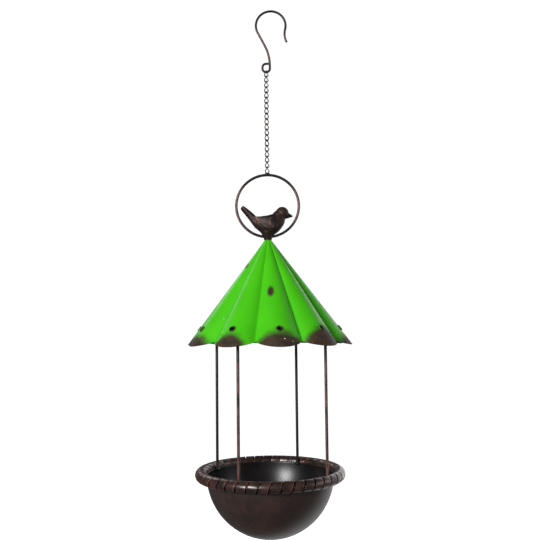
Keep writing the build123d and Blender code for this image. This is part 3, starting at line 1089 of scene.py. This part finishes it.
# %% Bird finish
def bird_paint(place):
    x, y, z = parts_of(place)
    above = z - bird_place.z / MM
    cloud, speck = noise(place, 9), noise(place, 1.0, 4, 0.6)
    from_wing = ((x - wing_along) / wing_long) ** 2.0
    from_wing = from_wing + ((above - wing_height + wing_lean * x) / wing_tall) ** 2.0
    wing = (1 - band(from_wing, 0.7, 1.1)) * band(y.math("ABSOLUTE", y), 4.5, 5.5)
    barbs = (above + barb_lean * x + barb_wander * (cloud - 0.5)) * barb_pitch + barb_curve * x * x
    barbs = 0.5 + 0.5 * barbs.math("SINE", barbs)
    raised = kept(place, "raised") + 0.16 * wing * (barbs - 0.6)
    tone = blend(band(cloud, 0.35, 0.7), cast_black, cast_brown)
    low = band(0 - raised + 0.1 * (speck - 0.5), 0.02, 0.2)
    tone = blend(low * 0.8, tone, cast_hollow)
    high = band(raised + 0.2 * (speck - 0.5) + 0.2 * (cloud - 0.5), 0.08, 0.34)
    tone = blend(high * 0.5, tone, cast_worn)
    # Copper patches at the tail root and breast: rubbed through, with a painted highlight on them.
    for (along, height), (long, tall) in rub_and_highlight_places:
        centre = (along, 0.0, bird_place.z / MM + height)
        away = distance(place, centre, (long, right_through, tall))
        rub_and_highlight = 1 - band(away + 0.8 * (speck - 0.5), 0.1, 1.3)
        rub_and_highlight = rub_and_highlight * band(raised + 0.4 * (speck - 0.5), -0.12, 0.2)
        tone = blend(rub_and_highlight * 0.5, tone, cast_copper_and_highlight)
    normal = bump(0.3 * speck + wing * barbs, 0.12, 0.5)
    return surface(tone, 0.42 + 0.2 * speck, normal, {"Metallic": 0.15, "Specular IOR Level": 0.28})


finish("bird_finish", bird_paint, bird)

# %% [markdown]
# ### Roof enamel
# Bright green enamel. Toward the end of every lobe it is rubbed and sprayed over with a rust-brown patina
# that ends in a soft, speckled border, and a few chips show the same brown. The patina could be painted on
# by hand. It is worked out from the height above the lobe's tip and the distance from its crest, with its
# own height on each lobe, so it follows the hem all round. The inside is near black.

# %% Roof colours and marks
leaf_green, deep_green = colour(64, 178, 10), colour(60, 170, 9)
rust_brown, dark_rust, speck_white = colour(58, 43, 28), colour(42, 32, 22), colour(235, 235, 230)
patina_heights = (15.0, 18.5, 11.0, 12.0, 12.0, 12.0, 12.0, 12.0, 11.0, 13.0)  # mm, at each crest
patina_falls = (0.9, 0.9, 1.0, 1.2, 1.4, 1.0, 1.3, 1.1, 1.0, 1.9)  # how steeply it drops to the valleys
half_lobe_width, slope_stretch = 22.6, 1.26  # mm at the holes, and mm down the slope for each mm of height
ring_strength = 0.92
chips = [((2.2, -44.3, -294.6), (4.2, 6.0, 11.0)), ((-21.2, -9.0, -268.5), (3.0, 5.0, 7.0))]
specks = [((14.7, -77.5, -339.4), 0.55), ((22.2, -75.7, -341.8), 0.5), ((-43.2, -38.9, -320.4), 0.4)]


def lobe_places(x, y):
    """Which lobe a place is on, and how far it is from the lobe's crest, from -1 to 1."""
    turn = (y.math("ARCTAN2", y, x) / tau - first_crest / 360) * lobe_count + 0.5
    turn = turn.math("FLOORED_MODULO", turn, float(lobe_count))
    lobe = turn.math("FLOOR", turn)
    return lobe, (turn - lobe) * 2 - 1


print("chips and specks on the roof:", len(chips), len(specks))


# %% Roof finish outside
def roof_paint(place):
    x, y, z = parts_of(place)
    lobe, side = lobe_places(x, y)
    above = z - roof_tip_z / MM
    height = fall = 0.0
    for index in range(lobe_count):
        here = lobe.math("COMPARE", lobe, float(index), 0.5)
        height, fall = height + here * patina_heights[index], fall + here * patina_falls[index]
    spray, drift, tint = noise(place, 0.6, 4, 0.75), noise(place, 6), noise(place, 30, 2)
    edge = above - height * (1.0 - side * side * fall) + 8 * (drift - 0.5)
    patina = 1 - band(edge + 7 * (spray - 0.5), -5.0, 4.5)
    above_hole = above - (hole_height - roof_tip_z) / MM
    from_hole = ((half_lobe_width * side) ** 2.0 + (slope_stretch * above_hole) ** 2.0) ** 0.5
    ring = ring_strength - ring_strength * band(from_hole + 2.4 * (spray - 0.5), 2.8, 4.4)
    patina = patina.math("MAXIMUM", patina, ring)
    for centre, size in chips:
        chip = 1 - band(distance(place, centre, size) + 1.2 * (spray - 0.5), 0.45, 1.1)
        patina = patina.math("MAXIMUM", patina, chip)
    green = blend(band(tint, 0.25, 0.75), leaf_green, deep_green)
    brown = blend(band(drift, 0.35, 0.65), rust_brown, dark_rust)
    tone = blend(patina, green, brown)
    for centre, size in specks:
        away = distance(place, centre, (size, size, size))
        tone = blend(1 - band(away, 0.6, 1.0), tone, speck_white)
    rough = 0.36 + 0.2 * patina + 0.08 * spray
    return surface(tone, rough, bump(spray, 0.03, 0.3), {"Specular IOR Level": 0.35})


finish("roof_finish", roof_paint, roof)

# %% Roof finish inside
inside_green, inside_brown = colour(20, 24, 14), colour(30, 30, 22)


def roof_inside_paint(place):
    cloud, grain = noise(place, 18), noise(place, 0.8)
    tone = blend(band(cloud, 0.3, 0.7), inside_green, inside_brown)
    return surface(tone, 0.55 + 0.2 * grain, bump(grain, 0.04, 0.4))


finish("roof_inside_finish", roof_inside_paint, roof)

# %% [markdown]
# ### Bowl
# Dark brown lacquer, a little red where it is thin. Inside, the same lacquer is painted near black as the
# bowl's painted shade. Both finishes are the same two steps, clouds of two tones and a fine grain, so that
# the lacquer never looks like one flat colour.

# %% Bowl finishes
bowl_brown, bowl_red = colour(35, 26, 24), colour(52, 36, 32)
# Painted shade: the inside is the outside's lacquer painted near black.
shaded_well_black, shaded_well_brown = colour(12, 10, 10), colour(22, 18, 18)


def bowl_paint(place):
    cloud, grain, speckle = noise(place, 16, 4, 0.6), noise(place, 0.7), noise(place, 2.2, 4, 0.7)
    tone = blend(band(0.6 * cloud + 0.4 * speckle, 0.36, 0.64), bowl_brown, bowl_red)
    return surface(tone, 0.3 + 0.12 * grain, bump(grain, 0.02, 0.4))


def bowl_inside_shade_paint(place):
    cloud, grain = noise(place, 25), noise(place, 0.7)
    tone = blend(band(cloud, 0.3, 0.7), shaded_well_black, shaded_well_brown)
    return surface(tone, 0.27 + 0.1 * grain, bump(grain, 0.02, 0.4), {"Specular IOR Level": 0.38})


finish("bowl_finish", bowl_paint, bowl)
finish("bowl_inside_shade_finish", bowl_inside_shade_paint, bowl)

# %% [markdown]
# ### Rim strip
# The strip is browner than the bowl. On every turn one edge is rubbed to a copper tone with a painted
# highlight on it, and the other is painted black, as painted shade of the next turn and as paint built up
# in the gap. A pattern of stripes round the rim would have to be fitted to the turns, so the place across
# the strip was kept on its mesh. The ring under it shows only in the gaps: it stays the CAD node and gets a
# dark reddish finish.

# %% Rim finishes
strip_brown, strip_red = colour(36, 28, 25), colour(66, 44, 39)
strip_copper_and_highlight, strip_shade_and_paint_black = colour(132, 76, 64), colour(10, 8, 8)
core_dark, core_red = colour(24, 14, 14), colour(48, 24, 24)


def strip_paint(place):
    across = kept(place, "across")
    cloud, speck = noise(place, 12), noise(place, 1.2, 4, 0.6)
    tone = blend(band(cloud, 0.3, 0.7), strip_brown, strip_red)
    # One edge: a copper rub with a painted highlight on it.
    rub_and_highlight = band(across + 0.5 * (speck - 0.5) + 0.6 * (cloud - 0.5), 0.7, 1.1)
    tone = blend(rub_and_highlight * 0.55, tone, strip_copper_and_highlight)
    # The other edge: painted shade of the next turn, and paint built up in the gap.
    tone = blend(band(0 - across, 0.76, 0.92) * 0.9, tone, strip_shade_and_paint_black)
    return surface(tone, 0.24 + 0.12 * speck, bump(speck, 0.012, 0.3), {"Metallic": 0.2})


def core_paint(place):
    return surface(blend(noise(place, 1.5), core_dark, core_red), 0.6)


finish("strip_finish", strip_paint, winding)
rim_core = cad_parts["rim_core"]
rim_core.data.materials.clear()
finish("core_finish", core_paint, rim_core)

# %% [markdown]
# ### Weld metal
# The beads are painted over in black, and bright where the paint missed them. It missed more of the
# spatter. That could be a piece of its own, but a mark on the mesh is enough to tell its drops apart.

# %% Weld finish
weld_black, weld_bright = colour(20, 17, 16), colour(176, 170, 165)


def weld_paint(place):
    speck = noise(place, 1.0, 4, 0.6)
    tone = blend(band(speck + 0.4 * kept(place, "fresh"), 0.55, 0.75), weld_black, weld_bright)
    return surface(tone, 0.3 + 0.2 * speck, bump(speck, 0.08, 0.6), {"Metallic": 0.6})


finish("weld_finish", weld_paint, welds)

# %% [markdown]
# ## Stage and light
# A white studio: a pale floor well below the hanging feeder, and four square soft lights. The strongest is
# at the front left, and weaker ones behind to the left, behind to the right and at the right give the edges
# their sheen. An even surround would grey the dark bowl, so it is dim, apart from a bright sheet behind,
# below and to the right that lights the bowl's lower edge. The camera alone sees it white.

# %% Floor
floor_size, floor_drop = 12, 0.32
floor_light, floor_pale, floor_glow = colour(236, 236, 236), colour(242, 242, 242), colour(250, 250, 250)


def floor_paint(place):
    tone = blend(noise(place, 400, 2), floor_light, floor_pale)
    return surface(tone, 0.9, fixed={"Emission Color": floor_glow, "Emission Strength": 1.0})


select_none()
bpy.ops.mesh.primitive_plane_add(size=floor_size, location=(0, 0, bowl_low.z - floor_drop))
floor = named("floor")
floor.visible_diffuse = False
floor.visible_glossy = False
floor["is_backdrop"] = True
finish("floor_finish", floor_paint, floor)

# %% Lights
soft_lights = {  # place, side in metres, power in watts
    "key_light": ((-0.8, -1.35, -0.02), 0.5, 36),
    "left_light": ((-0.65, 1.15, 0.45), 0.6, 3),
    "back_light": ((0.75, 1.05, -0.15), 1.3, 8),
    "side_light": ((1.15, -0.05, -0.2), 0.8, 4),
}
aim = Vector((0, 0, (roof_tip_z + rim_z) / 2))
for name, (place, size, power) in soft_lights.items():
    bpy.ops.object.light_add(type="AREA", location=place)
    light = bpy.context.object
    light.name = name
    light.rotation_euler = (aim - Vector(place)).to_track_quat("-Z", "Y").to_euler()
    light.data.size = size
    light.data.energy = power
    light.visible_camera = False
    print(name, power, "W")

# %% Surround
sheet_way = (0.46, 0.74, -0.49)
dim_grey, sheet_white, seen_white = [(level, level, level, 1.0) for level in (0.13, 0.85, 1.04)]

world = bpy.data.worlds.new("studio")
scene.world = world
world.use_nodes = True
world.node_tree.nodes.clear()
start = Shade(world.node_tree)
way = start.node("TexCoord", output="Generated")
toward = way.node("VectorMath", {"operation": "DOT_PRODUCT"}, {0: way, 1: sheet_way}, output="Value")
surround = blend(band(toward, 0.7, 0.97), dim_grey, sheet_white)
seen = start.node("LightPath", output="Is Camera Ray")
surround = blend(seen, surround, seen_white)
background = start.node("Background", {}, {"Color": surround, "Strength": 1.0})
start.node("OutputWorld", {}, {"Surface": background})
print("surround:", len(world.node_tree.nodes), "nodes")

# %% Sizes and finish
visual_low, visual_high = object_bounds()
print("visual box in mm:", in_mm(visual_high - visual_low))
